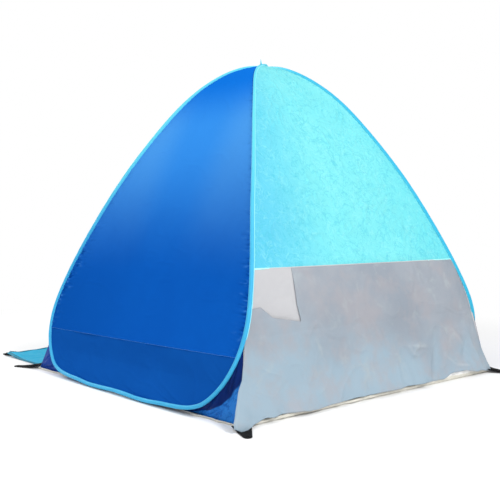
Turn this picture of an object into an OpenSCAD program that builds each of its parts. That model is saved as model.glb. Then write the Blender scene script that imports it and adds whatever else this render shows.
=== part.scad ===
// Pop-up tent: two spring-wire side loops that cross at the top, with fabric panels between them.
// Millimetres, +Z up. The origin is on the ground at the middle of the ground sheet.
// The doorway and its porch face -Y, the curtained window faces +Y, the side loops are at +X and -X.

/* [Overall size] */
// Height of the wires' crossing point above the ground
apex_h = 1290; // [1200:5:1350]
// Half of the ground sheet's width, side to side
floor_half_w = 706; // [690:1:715]
// Half of the ground sheet's depth, door to curtain
floor_half_d = 653; // [640:1:660]
// Furthest reach of a side loop from the middle, along X
loop_reach = 744; // [735:1:760]
// Half of a side loop's widest width, along Y
loop_half_d = 605; // [590:1:610]

/* [Spring wire and sleeve] */
// Radius of the spring-steel wire
wire_r = 2; // [1.5:0.1:2.2]
// Outer radius of the fabric sleeve
sleeve_r = 7; // [6:0.1:7.5]
// Radius of the channel inside the sleeve
sleeve_bore_r = 4.2; // [3.9:0.1:4.5]
// Height of the wire at the bottom of a side loop
wire_low = 14; // [12:1:18]
// Distance that each sleeve rises or dips where the two cross
cross_lift = 7.6; // [7.5:0.1:9]
// Length of the crimped ferrule that joins the wire's ends
ferrule_len = 40; // [20:1:60]

/* [Panels] */
// Thickness of a fabric panel, with its hem
panel_t = 1.2; // [0.8:0.1:2]
// Height of the seam between a side panel and its lower band
band_seam_h = 206; // [180:1:230]
// Height of the seam at the top of the rear window
window_seam_h = 482; // [440:1:520]
// Height of the front hood's lower edge at the sleeves
hood_edge_h = 720; // [640:5:800]
// Extra height of that edge at the middle of its arch
hood_arch = 70; // [0:5:100]
// Height at which the panels leave the sleeve and run to the floor corner
leave_h = 270; // [255:1:285]
// Distance of the curtain behind the window
curtain_gap = 6; // [4:0.5:8]
// Width of the folded-down corner of the curtain
notch_w = 180; // [100:5:220]
// Height of the folded-down corner of the curtain
notch_h = 160; // [80:5:180]

/* [Ground sheet and porch] */
// Thickness of the ground sheet
floor_t = 2; // [1.5:0.1:2.5]
// Length of the porch flap, from the doorway outwards
porch_len = 347; // [280:1:400]
// Half of the porch flap's width
porch_half_w = 684; // [600:1:686]
// Width of the binding round the porch flap
binding_w = 11; // [8:1:16]
// Distance of the porch hinge line in front of the ground sheet
porch_gap = 8; // [7:1:10]

/* [Peg loops] */
// Length of a webbing peg loop
peg_loop_len = 110; // [70:1:120]
// Half of its width where it is sewn on
peg_loop_root = 28; // [20:1:32]
// Half of its width at the tip
peg_loop_tip = 14; // [12:1:16]
// Radius of the hole for the ground peg
peg_hole_r = 5; // [4:0.5:6]
// Thickness of the doubled webbing
webbing_t = 3; // [2:0.5:3.5]
// Direction of a corner peg loop, from the X axis
peg_loop_angle = 58; // [45:1:65]

/* [Door zips] */
// Length of the zip tape on a doorway edge
zip_len = 118; // [90:1:120]
// Width of the zip tape
zip_w = 12; // [10:1:14]
// Length of a zip slider
slider_len = 16; // [14:1:20]
// Length of a zip pull
pull_len = 30; // [24:1:36]

/* [Hidden] */

right = 1;
left = -1;
rear = 1;
front = -1;

// Clearance of a face panel's or gusset's edge from the sleeve's centre line
hem_gap = sleeve_r + 1.5;
// The same for a side panel, whose edge follows the tight corners of the loop
side_gap = sleeve_r + 5.5;
// Clearance between two pieces that are sewn together
sewn_gap = 2;
// Part of the rib over which the crossing's lift fades away
cross_fade = 0.5;
// Part of the rib that is cut away next to the crossing
cross_cut = 0.04;
tube_sides = 8;
wire_sides = 6;
rib_steps = 4;
table_steps = 12;

// ---- The rib: half of a side loop, from the crossing point to the middle of its bottom ----
// Each point is [share of loop_reach, share of loop_half_d, height].
rib_points = [[0, 0, apex_h],
              [0.21, 0.182, 0.960 * apex_h],
              [0.398, 0.417, 0.834 * apex_h],
              [0.641, 0.737, 0.568 * apex_h],
              [0.868, 1, 0.228 * apex_h],
              [0.973, 0.828, 58],
              [1, 0.397, wire_low],
              [1, 0, wire_low]];
rib_last = len(rib_points) - 1;

function rib_point(i) = let (p = rib_points[i]) [p[0] * loop_reach, p[1] * loop_half_d, p[2]];
function rib_knot(i) =
    i < 0 ? let (p = rib_point(1)) [-p[0], -p[1], p[2]]
    : i > rib_last ? let (p = rib_point(rib_last - 1)) [p[0], -p[1], p[2]]
    : rib_point(i);
function spline(a, b, c, d, w) =
    (2 * b + (c - a) * w + (2 * a - 5 * b + 4 * c - d) * w * w
     + (3 * b - a - 3 * c + d) * w * w * w) / 2;
// Point on the rib, t from 0 at the crossing to rib_last at the bottom
function rib(t) =
    let (i = min(floor(t), rib_last - 1))
    spline(rib_knot(i - 1), rib_knot(i), rib_knot(i + 1), rib_knot(i + 2), t - i);
function unit(v) = v / norm(v);
function rib_dir(t) = unit(rib(min(t + 0.01, rib_last)) - rib(max(t - 0.01, 0)));
// Lift of the sleeve near the crossing: +1 for the wire that passes on top, -1 for the other
function lift(t, way) = way * cross_lift * pow(max(0, 1 - t / cross_fade), 2);
function mirrored(p, sx, sy) = [sx * p[0], sy * p[1], p[2]];

// The rib's X and Y for a given height, above the flat run along the ground
rib_table = [for (k = [0 : 6 * table_steps]) rib(k / table_steps)];
x_table = [for (p = rib_table) [p[2], p[0]]];
y_table = [for (p = rib_table) [p[2], p[1]]];
function rib_x(z) = lookup(z, x_table);
function rib_y(z) = lookup(z, y_table);
function slope(z, table) = (lookup(z + 2, table) - lookup(z - 2, table)) / 4;
// Shortening of a row so that its end stays gap away from the sleeve's centre line
function row_gap(z, across, along, gap) =
    gap * sqrt(1 + pow(slope(z, across), 2) + pow(slope(z, along), 2))
    / sqrt(1 + pow(slope(z, along), 2));
function side_half_width(z) = rib_y(z) - row_gap(z, y_table, x_table, side_gap);
function face_half_width(z) = rib_x(z) - row_gap(z, x_table, y_table, hem_gap);

// ---- Whole loop of one side: rear rib down, along the bottom, front rib up ----
// One rib crosses over the other at the top: rear right runs on to front left.
function loop_path(side) =
    [for (k = [0 : rib_last * rib_steps])
        let (t = max(k / rib_steps, cross_cut), p = rib(t))
        mirrored(p + [0, 0, lift(t, side)], side, rear),
     for (k = [rib_last * rib_steps - 1 : -1 : 0])
        let (t = max(k / rib_steps, cross_cut), p = rib(t))
        mirrored(p + [0, 0, lift(t, -side)], side, front)];

function path_dir(path, i) = unit(path[min(i + 1, len(path) - 1)] - path[max(i - 1, 0)]);
function ring(path, i, r, sides) =
    let (d = path_dir(path, i), a = unit(cross(d, [1, 0, 0])), b = cross(d, a))
    [for (k = [0 : sides - 1])
        let (turn = 360 * (k + 0.5) / sides) path[i] + r * (cos(turn) * a + sin(turn) * b)];

module rod(path, r, sides) {
    last = len(path) - 1;
    points = [for (i = [0 : last]) each ring(path, i, r, sides)];
    walls = [for (i = [0 : last - 1], k = [0 : sides - 1])
                let (m = (k + 1) % sides)
                [i * sides + k, i * sides + m, (i + 1) * sides + m, (i + 1) * sides + k]];
    caps = [[for (k = [sides - 1 : -1 : 0]) k], [for (k = [0 : sides - 1]) last * sides + k]];
    polyhedron(points, concat(walls, caps), convexity = 6);
}

module pipe(path, r_out, r_in, sides) {
    last = len(path) - 1;
    inner = (last + 1) * sides;
    points = [for (r = [r_out, r_in]) for (i = [0 : last]) each ring(path, i, r, sides)];
    outside = [for (i = [0 : last - 1], k = [0 : sides - 1])
                  let (m = (k + 1) % sides)
                  [i * sides + k, i * sides + m, (i + 1) * sides + m, (i + 1) * sides + k]];
    inside = [for (f = outside) [for (j = [3 : -1 : 0]) inner + f[j]]];
    ends = [for (k = [0 : sides - 1])
               let (m = (k + 1) % sides, e = last * sides)
               each [[k, inner + k, inner + m, m], [e + k, e + m, inner + e + m, inner + e + k]]];
    polyhedron(points, concat(outside, inside, ends), convexity = 8);
}

// ---- A fabric sheet: a grid of points given a thickness along the sheet's own normal ----
function grid_normal(g, i, j) =
    let (rows = len(g) - 1, cols = len(g[0]) - 1,
         down = g[min(i + 1, rows)][j] - g[max(i - 1, 0)][j],
         along = g[i][min(j + 1, cols)] - g[i][max(j - 1, 0)])
    unit(cross(down, along));

module sheet(g, t) {
    rows = len(g);
    cols = len(g[0]);
    back = rows * cols;
    points = [for (s = [0.5, -0.5], i = [0 : rows - 1], j = [0 : cols - 1])
                 g[i][j] + s * t * grid_normal(g, i, j)];
    face = [for (i = [0 : rows - 2], j = [0 : cols - 2])
               let (a = i * cols + j)
               each [[a, a + 1, a + cols], [a + 1, a + cols + 1, a + cols]]];
    reverse = [for (f = face) [back + f[2], back + f[1], back + f[0]]];
    edge = concat([for (j = [0 : cols - 1]) j],
                  [for (i = [1 : rows - 1]) i * cols + cols - 1],
                  [for (j = [cols - 2 : -1 : 0]) (rows - 1) * cols + j],
                  [for (i = [rows - 2 : -1 : 1]) i * cols]);
    rim = [for (k = [0 : len(edge) - 1])
              let (a = edge[k], b = edge[(k + 1) % len(edge)])
              each [[b, a, back + a], [b, back + a, back + b]]];
    polyhedron(points, concat(face, reverse, rim), convexity = 6);
}

// ---- Side panels: rows run front to rear between the two ribs of a loop ----
function side_row(z, cols, side) =
    [for (j = [0 : cols])
        [side * rib_x(z), side * side_half_width(z) * (2 * j / cols - 1), z]];

side_top_h = 0.9935 * apex_h;
side_bottom_h = wire_low + side_gap + 1;

module side_panel(side) {
    drop = side_top_h - band_seam_h - 1;
    sheet([for (k = [0 : 14]) side_row(side_top_h - drop * pow(k / 14, 1.7), 8, side)], panel_t);
}

module side_band(side) {
    drop = band_seam_h - 1 - side_bottom_h;
    sheet([for (k = [0 : 8]) side_row(side_bottom_h + drop * (1 - sin(90 * k / 8)), 8, side)],
          panel_t);
}

// ---- Door and window faces: rows run side to side between the two loops ----
// Below leave_h the edge runs straight from the sleeve to the floor corner.
corner_in = [floor_half_w - 2, floor_half_d - 2, floor_t + sewn_gap];
leave_p = [rib_x(leave_h), rib_y(leave_h), leave_h];
function below(z) = max(0, (leave_h - z) / (leave_h - corner_in[2]));
function edge_x(z) = z > leave_h ? face_half_width(z)
                   : face_half_width(leave_h) + below(z) * (corner_in[0] - sewn_gap - 2
                                                            - face_half_width(leave_h));
function edge_y(z) = z > leave_h ? rib_y(z)
                   : leave_p[1] + below(z) * (corner_in[1] - leave_p[1]);
function face_row(z, cols, way, out = 0) =
    [for (j = [0 : cols])
        [-way * edge_x(z) * (2 * j / cols - 1), way * (edge_y(z) + out), z]];

roof_top_h = 0.9965 * apex_h;
roof_rows = 13;
function drop_share(k) = pow(k / roof_rows, 1.7);

module rear_roof_panel() {
    drop = roof_top_h - window_seam_h - 1;
    sheet([for (k = [0 : roof_rows]) face_row(roof_top_h - drop * drop_share(k), 8, rear)],
          panel_t);
}

function arch(s) = hood_edge_h + hood_arch * (1 - pow(2 * s - 1, 2));
function hood_point(k, s) =
    let (z = roof_top_h - (roof_top_h - arch(s)) * drop_share(k))
    [edge_x(z) * (2 * s - 1), -edge_y(z), z];

module front_hood_panel() {
    sheet([for (k = [0 : roof_rows]) [for (j = [0 : 8]) hood_point(k, j / 8)]], panel_t);
}

window_top_h = window_seam_h - 1;
window_bottom_h = floor_t + sewn_gap;
window_rows = 9;

module window_panel() {
    drop = window_top_h - window_bottom_h;
    sheet([for (k = [0 : window_rows]) face_row(window_top_h - drop * k / window_rows, 8, rear)],
          panel_t);
}

// The curtain hangs outside the window; a corner of it is folded down at the right
curtain_bottom_h = webbing_t + sewn_gap;
notch_x = face_half_width(window_seam_h) - notch_w;
notch_bottom_h = window_top_h - notch_h;
notch_slope_h = notch_bottom_h + 38;
curtain_heights = [window_top_h, (window_top_h + notch_slope_h) / 2, notch_slope_h,
                   notch_bottom_h + 6, notch_bottom_h, leave_h, 180, 90, curtain_bottom_h];
function curtain_right(z) =
    z > notch_slope_h + 1 ? notch_x
    : z > notch_slope_h - 1 ? notch_x + 2
    : z > notch_bottom_h + 1 ? notch_x + 0.6 * (edge_x(z) - notch_x)
    : edge_x(z);
function curtain_row(z, cols) =
    [for (j = [0 : cols])
        [curtain_right(z) - (curtain_right(z) + edge_x(z)) * j / cols,
         edge_y(z) + curtain_gap + 4 * below(z), z]];

module curtain_panel() {
    sheet([for (z = curtain_heights) curtain_row(z, 10)], panel_t);
}

// ---- Corner gussets: from the loop's rounded corner down to the corner of the ground sheet ----
// The rear gussets reach higher up the rib than the front ones
rear_start_t = 4.1;
front_start_t = 4.6;
gusset_end_t = 6.6;
gusset_cols = 12;
gusset_bottom = [floor_half_w - 2, floor_half_d - 2, floor_t + sewn_gap];
function gusset_foot(s) = [gusset_bottom[0], gusset_bottom[1] * (1 - 0.94 * s), gusset_bottom[2]];
function gusset_head(s, start_t) =
    let (t = start_t + (gusset_end_t - start_t) * s, p = rib(t), d = rib_dir(t),
         away = gusset_foot(s) - p, n = unit(away - (away * d) * d))
    p + hem_gap * n;
function gusset_grid(side, way) =
    [for (i = [0 : 3]) [for (j = [0 : gusset_cols])
        let (s = j / gusset_cols, u = side * way > 0 ? s : 1 - s,
             head = gusset_head(u, way == rear ? rear_start_t : front_start_t))
        mirrored(head + (gusset_foot(u) - head) * i / 3, side, way)]];

module gusset(side, way) {
    sheet(gusset_grid(side, way), panel_t);
}

// ---- Doorway edge: the straight front edge of a gusset, where the door zip is sewn ----
door_foot = gusset_foot(0);
door_head = gusset_head(0, front_start_t);
door_line = door_head - door_foot;
door_tilt = acos(door_line[2] / norm(door_line));
door_turn = atan2(-door_line[1], door_line[0]);
zip_start = 12;
tape_t = 1.2;
slider_w = 9;
slider_t = 6;
slider_home = 30;
slot_d = 5;
slot_clear = 0.4;
pin_r = 0.8;
pin_h = 5.2;

// Puts its children on a doorway edge: local +Z runs up the edge, +X into the doorway
// and +Y out of the tent
module on_door_edge(side) {
    mirror([side < 0 ? 1 : 0, 0, 0])
        translate([door_foot[0], -door_foot[1], door_foot[2]])
            rotate([0, 0, door_turn])
                rotate([0, door_tilt, 0])
                    rotate([0, 0, 180 - door_turn])
                        children();
}

module zip_tape(side) {
    on_door_edge(side)
        translate([sewn_gap, 0, zip_start])
            cube([zip_w, tape_t, zip_len]);
}

slider_x = sewn_gap + zip_w - slot_d + slot_clear;

module slider_body() {
    translate([slider_x, (tape_t - slider_t) / 2, 0])
        difference() {
            cube([slider_w, slider_t, slider_len]);
            translate([-1, (slider_t - tape_t) / 2 - slot_clear, -1])
                cube([slot_d + 1, tape_t + 2 * slot_clear, slider_len + 2]);
        }
}

// Hinge of the pull, over the middle of the slider
pull_x = slider_x + slider_w / 2;
pull_y = (tape_t + slider_t) / 2 + 1.8;
pull_z = slider_len - 5;

module zip_slider(side) {
    on_door_edge(side)
        translate([0, 0, slider_home]) {
            slider_body();
            for (s = [-1, 1])
                translate([pull_x + s * (pin_h / 2 - 0.5) - 0.5, pull_y - 2.2, pull_z - 1.3])
                    cube([1, 3.4, 2.6]);
            translate([pull_x - pin_h / 2, pull_y, pull_z])
                rotate([0, 90, 0])
                    cylinder(h = pin_h, r = pin_r, $fn = 32);
        }
}

module zip_pull(side) {
    eye_w = 2.4;
    on_door_edge(side)
        translate([pull_x, pull_y, slider_home + pull_z])
            difference() {
                union() {
                    translate([-eye_w / 2, 0, 0])
                        rotate([0, 90, 0])
                            cylinder(h = eye_w, r = 1.5, $fn = 40);
                    translate([-eye_w / 2, 0.3, -pull_len])
                        cube([eye_w, 1.2, pull_len]);
                    translate([-eye_w, 0.3, -pull_len])
                        cube([2 * eye_w, 1.2, pull_len * 0.55]);
                }
                translate([-eye_w, 0, 0])
                    rotate([0, 90, 0])
                        cylinder(h = 2 * eye_w, r = pin_r + 0.08, $fn = 40);
            }
}

// ---- Peg loops ----
loop_offset = 12;

module peg_loop(length, half_root, half_tip) {
    linear_extrude(webbing_t)
        difference() {
            union() {
                polygon([[0, -half_root], [length - half_tip, -half_tip],
                         [length - half_tip, half_tip], [0, half_root]]);
                translate([length - half_tip, 0])
                    circle(r = half_tip, $fn = 48);
            }
            translate([length - half_tip, 0])
                circle(r = peg_hole_r, $fn = 48);
        }
}

module corner_peg_loop(side, way) {
    translate([side * floor_half_w, way * floor_half_d, 0])
        rotate([0, 0, atan2(way * sin(peg_loop_angle), side * cos(peg_loop_angle))])
            translate([loop_offset, 0, 0])
                peg_loop(peg_loop_len, peg_loop_root, peg_loop_tip);
}

porch_edge_y = -(floor_half_d + porch_gap + sewn_gap + porch_len);
porch_loop_scale = 0.62;
porch_loop_in = 22;

module porch_peg_loop(side) {
    translate([side * (porch_half_w - porch_loop_in), porch_edge_y - 4, 0])
        rotate([0, 0, -90])
            peg_loop(peg_loop_len * porch_loop_scale, peg_loop_root * 0.8, peg_loop_tip);
}

// ---- Porch flap and its binding ----
porch_root_y = -(floor_half_d + porch_gap + sewn_gap);

module porch_rect(inset, depth_inset) {
    translate([-(porch_half_w - inset), porch_edge_y + depth_inset])
        square([2 * (porch_half_w - inset), porch_len - depth_inset]);
}

module porch_binding_ring() {
    linear_extrude(floor_t + 0.6)
        difference() {
            porch_rect(0, 0);
            translate([0, 1])
                porch_rect(binding_w, binding_w);
        }
}

module porch_panel() {
    linear_extrude(floor_t)
        porch_rect(binding_w + 1, binding_w + 1);
}

// ---- Pieces at the crossing ----
patch_h = apex_h - 20;
patch_r = 38;
lantern_top_h = apex_h - 26;

module crossing_patch_plate() {
    translate([0, 0, patch_h])
        cylinder(h = 1.5, r = patch_r, $fn = 48);
}

module lantern_strap() {
    half_w = 9;
    drop = 36;
    translate([0, 7.5, lantern_top_h - drop])
        rotate([90, 0, 0])
            linear_extrude(15)
                difference() {
                    union() {
                        translate([-half_w, half_w])
                            square([2 * half_w, drop - half_w]);
                        translate([0, half_w])
                            circle(r = half_w, $fn = 48);
                    }
                    translate([-half_w + 2, half_w])
                        square([2 * half_w - 4, drop - half_w - 2]);
                    translate([0, half_w])
                        circle(r = half_w - 2, $fn = 48);
                }
}

// ---- Nodes ----
module wire_loop(side) {
    color("silver")
        rod(loop_path(side), wire_r, wire_sides);
}
module sleeve_loop(side) {
    color("deepskyblue")
        pipe(loop_path(side), sleeve_r, sleeve_bore_r, tube_sides);
}
module ferrule(side) {
    color("dimgray")
        translate([side * loop_reach, ferrule_len / 2, wire_low])
            rotate([90, 0, 0])
                difference() {
                    cylinder(h = ferrule_len, r = wire_r + 1.4, $fn = 40);
                    translate([0, 0, -1])
                        cylinder(h = ferrule_len + 2, r = wire_r + 0.5, $fn = 40);
                }
}

module frame_wire_right() { wire_loop(right); }
module frame_wire_left() { wire_loop(left); }
module wire_ferrule_right() { ferrule(right); }
module wire_ferrule_left() { ferrule(left); }
module sleeve_right() { sleeve_loop(right); }
module sleeve_left() { sleeve_loop(left); }
module side_panel_right() { color("royalblue") side_panel(right); }
module side_panel_left() { color("royalblue") side_panel(left); }
module side_band_right() { color("mediumblue") side_band(right); }
module side_band_left() { color("mediumblue") side_band(left); }
module gusset_rear_right() { color("navy") gusset(right, rear); }
module gusset_rear_left() { color("navy") gusset(left, rear); }
module gusset_front_right() { color("navy") gusset(right, front); }
module gusset_front_left() { color("navy") gusset(left, front); }
module rear_roof() { color("aquamarine") rear_roof_panel(); }
module front_hood() { color("aquamarine") front_hood_panel(); }
module rear_window() { color("whitesmoke") window_panel(); }
module rear_curtain() { color("lightsteelblue") curtain_panel(); }
module floor_sheet() {
    color("beige")
        translate([-floor_half_w, -floor_half_d, 0])
            cube([2 * floor_half_w, 2 * floor_half_d, floor_t]);
}
module porch_flap() { color("skyblue") porch_panel(); }
module porch_binding() { color("teal") porch_binding_ring(); }
module crossing_patch() { color("deepskyblue") crossing_patch_plate(); }
module lantern_loop() { color("black") lantern_strap(); }
module peg_loop_rear_right() { color("black") corner_peg_loop(right, rear); }
module peg_loop_rear_left() { color("black") corner_peg_loop(left, rear); }
module peg_loop_front_right() { color("black") corner_peg_loop(right, front); }
module peg_loop_front_left() { color("black") corner_peg_loop(left, front); }
module peg_loop_porch_right() { color("black") porch_peg_loop(right); }
module peg_loop_porch_left() { color("black") porch_peg_loop(left); }
module zip_tape_right() { color("skyblue") zip_tape(right); }
module zip_tape_left() { color("skyblue") zip_tape(left); }
module zip_slider_right() { color("gray") zip_slider(right); }
module zip_slider_left() { color("gray") zip_slider(left); }
module zip_pull_right() { color("gray") zip_pull(right); }
module zip_pull_left() { color("gray") zip_pull(left); }

frame_wire_right();
frame_wire_left();
wire_ferrule_right();
wire_ferrule_left();
sleeve_right();
sleeve_left();
side_panel_right();
side_panel_left();
side_band_right();
side_band_left();
gusset_rear_right();
gusset_rear_left();
gusset_front_right();
gusset_front_left();
rear_roof();
front_hood();
rear_window();
rear_curtain();
floor_sheet();
porch_flap();
porch_binding();
crossing_patch();
lantern_loop();
peg_loop_rear_right();
peg_loop_rear_left();
peg_loop_front_right();
peg_loop_front_left();
peg_loop_porch_right();
peg_loop_porch_left();
zip_tape_right();
zip_tape_left();
zip_slider_right();
zip_slider_left();
zip_pull_right();
zip_pull_left();
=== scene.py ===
"""Looks of the pop-up tent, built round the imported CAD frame.

Metres, +Z up. The doorway and its porch face -Y, the curtained window faces +Y, and the two
side loops are at +X and -X. A "rib" is a quarter of the frame: from the crossing at the top down
to the middle of a side loop's bottom. Each fabric piece is a grid of points worked out from the
ribs and the ground sheet's corners, then given folds, a thickness and a woven material.
"""
import math

import bmesh
import bpy
import numpy as np
from mathutils import Matrix, Vector


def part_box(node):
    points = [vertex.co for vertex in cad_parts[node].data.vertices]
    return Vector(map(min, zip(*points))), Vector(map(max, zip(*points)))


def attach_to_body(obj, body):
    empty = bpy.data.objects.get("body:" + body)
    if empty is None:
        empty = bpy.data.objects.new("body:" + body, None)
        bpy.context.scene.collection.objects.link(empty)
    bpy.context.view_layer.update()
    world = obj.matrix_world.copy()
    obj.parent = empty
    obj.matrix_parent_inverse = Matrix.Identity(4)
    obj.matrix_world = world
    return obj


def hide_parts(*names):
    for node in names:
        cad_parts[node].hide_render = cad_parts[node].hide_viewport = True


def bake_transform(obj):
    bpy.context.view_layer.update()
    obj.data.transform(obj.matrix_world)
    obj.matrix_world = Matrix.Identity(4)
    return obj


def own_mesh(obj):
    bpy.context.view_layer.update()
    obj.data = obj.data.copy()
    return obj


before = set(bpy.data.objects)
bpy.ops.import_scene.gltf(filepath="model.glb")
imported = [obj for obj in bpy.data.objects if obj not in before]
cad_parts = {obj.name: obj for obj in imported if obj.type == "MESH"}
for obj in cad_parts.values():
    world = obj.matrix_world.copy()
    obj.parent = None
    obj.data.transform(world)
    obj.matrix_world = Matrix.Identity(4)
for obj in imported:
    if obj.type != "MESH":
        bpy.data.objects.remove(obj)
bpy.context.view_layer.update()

RIGHT, LEFT, REAR, FRONT = 1, -1, 1, -1
SIDE_NAMES = {RIGHT: "right", LEFT: "left"}
WAY_NAMES = {REAR: "rear", FRONT: "front"}

# ---- Sizes of the cloth work ----
WIRE_R = 0.002
SLEEVE_R = 0.0072
SLEEVE_LIFT = 0.0076             # the sleeves swerve this far to pass each other at the top
TUCK = 0.0035                    # panel edges end this far from the wire, inside the sleeve
SHEET_T = 0.0011
ROOF_TOP_SHARE = 0.9965          # the CAD roof panels start this far up the rib
SIDE_TOP_SHARE, FACE_TOP_SHARE = 0.9985, 0.9988     # and the cloth panels this far
SEAM_DROP = 0.008                # the cloth seam sags this far below the sheets' joint
SEAM_TILT = 0.022                # the band seam climbs this much per metre towards the rear
LEAVE_H = 0.270                  # here the face panels leave the sleeve for the floor corner
HOOD_ARCH = 0.070
GUSSET_TOP, GUSSET_END = {REAR: 4.1, FRONT: 4.6}, 6.6      # along the rib, in its knots
CURTAIN_GAP = 0.005
NOTCH_X, NOTCH_Z = 0.395, 0.302  # inner lower corner of the curtain's folded-away part
PEG_ANGLE, PEG_START, PEG_LENGTH = math.radians(58), 0.002, 0.120
PEG_LIFT = 0.005

# ---- Sizes taken from the frame ----
ferrule_low, ferrule_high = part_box("wire_ferrule_right")
floor_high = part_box("floor_sheet")[1]
roof_low, roof_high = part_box("rear_roof")
porch_low, porch_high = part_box("porch_binding")

APEX_H = roof_high.z / ROOF_TOP_SHARE
LOOP_REACH = (ferrule_low.x + ferrule_high.x) / 2
LOOP_LOW = (ferrule_low.z + ferrule_high.z) / 2
LOOP_HALF_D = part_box("frame_wire_right")[1].y - WIRE_R
FLOOR_X, FLOOR_Y, FLOOR_T = floor_high.x, floor_high.y, floor_high.z
BAND_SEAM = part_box("side_band_right")[1].z - SEAM_DROP
WINDOW_SEAM = roof_low.z - 0.0005
HOOD_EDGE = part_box("front_hood")[0].z


# ---- The rib, as the CAD source draws it ----
def rib_knots():
    shares = ((0, 0, 1), (0.21, 0.182, 0.960), (0.398, 0.417, 0.834),
              (0.641, 0.737, 0.568), (0.868, 1, 0.228))
    high = [(x * LOOP_REACH, y * LOOP_HALF_D, z * APEX_H) for x, y, z in shares]
    low = [(0.973 * LOOP_REACH, 0.828 * LOOP_HALF_D, 0.058),
           (LOOP_REACH, 0.397 * LOOP_HALF_D, LOOP_LOW), (LOOP_REACH, 0, LOOP_LOW)]
    knots = high + low
    before = (-knots[1][0], -knots[1][1], knots[1][2])
    after = (knots[-2][0], -knots[-2][1], knots[-2][2])
    return np.array([before] + knots + [after])


KNOTS = rib_knots()
RIB_END = len(KNOTS) - 3
FLAT_START = RIB_END - 1         # from here on the rib runs along the ground


def rib(t):
    """Points on the rear right rib, t from 0 at the crossing to RIB_END at the bottom."""
    t = np.atleast_1d(np.asarray(t, float))
    i = np.clip(np.floor(t).astype(int), 0, RIB_END - 1)
    w = (t - i)[:, None]
    a, b, c, d = (KNOTS[i + k] for k in range(4))
    return (2 * b + (c - a) * w + (2 * a - 5 * b + 4 * c - d) * w ** 2
            + (3 * b - a - 3 * c + d) * w ** 3) / 2


def run_length(path):
    """The distance along a path at each of its points."""
    return np.concatenate([[0], np.cumsum(np.linalg.norm(np.diff(path, axis=0), axis=1))])


TABLE_T = np.linspace(0, RIB_END, 1401)
TABLE = rib(TABLE_T)
TABLE_ARC = run_length(TABLE)
FALLING = TABLE_T <= FLAT_START


def t_at_height(z):
    return np.interp(-np.asarray(z, float), -TABLE[FALLING, 2], TABLE_T[FALLING])


def rib_at_height(z):
    return rib(t_at_height(z))


def heights_between(z_top, z_bottom, count):
    """Heights of count rows that are evenly spaced along the rib."""
    arc = np.interp(t_at_height([z_top, z_bottom]), TABLE_T, TABLE_ARC)
    t = np.interp(np.linspace(arc[0], arc[1], count), TABLE_ARC, TABLE_T)
    return rib(t)[:, 2]


def rib_slopes(z):
    up, down = rib_at_height(np.asarray(z) + 0.002), rib_at_height(np.asarray(z) - 0.002)
    return (up - down)[:, 0] / 0.004, (up - down)[:, 1] / 0.004


def side_end(z, side, way):
    """Where a side panel's row at height z ends, just inside the sleeve."""
    p = rib_at_height(z)
    sx, sy = rib_slopes(z)
    gap = TUCK * np.sqrt(1 + sy ** 2 + sx ** 2) / np.sqrt(1 + sx ** 2)
    y = np.maximum(p[:, 1] - gap, 0.0004)
    return np.stack([side * p[:, 0], way * y, p[:, 2]], 1)


def face_end(z, side, way):
    """Where a roof, hood, window or curtain row at height z ends."""
    z = np.asarray(z, float)
    high = np.maximum(z, LEAVE_H)
    p = rib_at_height(high)
    sx, sy = rib_slopes(high)
    gap = TUCK * np.sqrt(1 + sy ** 2 + sx ** 2) / np.sqrt(1 + sy ** 2)
    x = np.maximum(p[:, 0] - gap, 0.0004)
    low = np.clip((LEAVE_H - z) / (LEAVE_H - FLOOR_T), 0, 1)
    x = x + low * (FLOOR_X - 0.003 - x)
    y = p[:, 1] + low * (FLOOR_Y - 0.001 - p[:, 1])
    return np.stack([side * x, way * y, z], 1)


# ---- Noise, the same on each run ----
def hashed_angle(ix, iy, seed):
    h = (ix.astype(np.int64) * 374761393 + iy.astype(np.int64) * 668265263
         + seed * 974634777) & 0xFFFFFFFF
    h = ((h ^ (h >> 13)) * 1274126177) & 0xFFFFFFFF
    h = h ^ (h >> 16)
    return (h & 0xFFFF) / 65536.0 * 2 * np.pi


def noise(x, y, seed):
    """Smooth gradient noise of two coordinates, about -1 to 1."""
    x, y = np.broadcast_arrays(np.asarray(x, float), np.asarray(y, float))
    ix, iy = np.floor(x), np.floor(y)
    fx, fy = x - ix, y - iy
    u = fx ** 3 * (fx * (fx * 6 - 15) + 10)
    v = fy ** 3 * (fy * (fy * 6 - 15) + 10)

    def corner(dx, dy):
        angle = hashed_angle(ix + dx, iy + dy, seed)
        return np.cos(angle) * (fx - dx) + np.sin(angle) * (fy - dy)

    top = corner(0, 0) * (1 - u) + corner(1, 0) * u
    bottom = corner(0, 1) * (1 - u) + corner(1, 1) * u
    return 1.5 * (top * (1 - v) + bottom * v)


def fractal(x, y, seed, octaves=3):
    total = 0
    for k in range(octaves):
        total = total + noise(x * 2 ** k, y * 2 ** k, seed + 17 * k) / 2 ** k
    return total


def creases(x, y, size, seed, sharp=3.0):
    """Thin ridges between smooth facets, as in crumpled cloth, 0 to 1."""
    wx = x + 0.6 * size * noise(x / size / 1.7, y / size / 1.7, seed + 5)
    wy = y + 0.6 * size * noise(x / size / 1.7 + 9.2, y / size / 1.7, seed + 6)
    return np.clip(1 - np.abs(noise(wx / size, wy / size, seed)) * sharp, 0, 1) ** 2


def step(x, start, end):
    w = np.clip((x - start) / (end - start), 0, 1)
    return w * w * (3 - 2 * w)


def pucker(distance, along, seed, depth=0.016, size=0.015):
    """Short folds that run away from a sewn edge, about -1 to 1."""
    folds = noise(along / size, 0.35 * distance / size, seed)
    folds = folds + 0.5 * noise(along / size * 2.3, 0.6 * distance / size, seed + 3)
    reach = depth * (1 + 0.9 * noise(along / size / 1.9, 0.5, seed + 7))
    return folds * np.exp(-distance / np.maximum(reach, 0.003)) * step(distance, 0, 0.006)


# ---- Meshes ----
def unit(vectors):
    return vectors / np.linalg.norm(vectors, axis=-1, keepdims=True)


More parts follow.
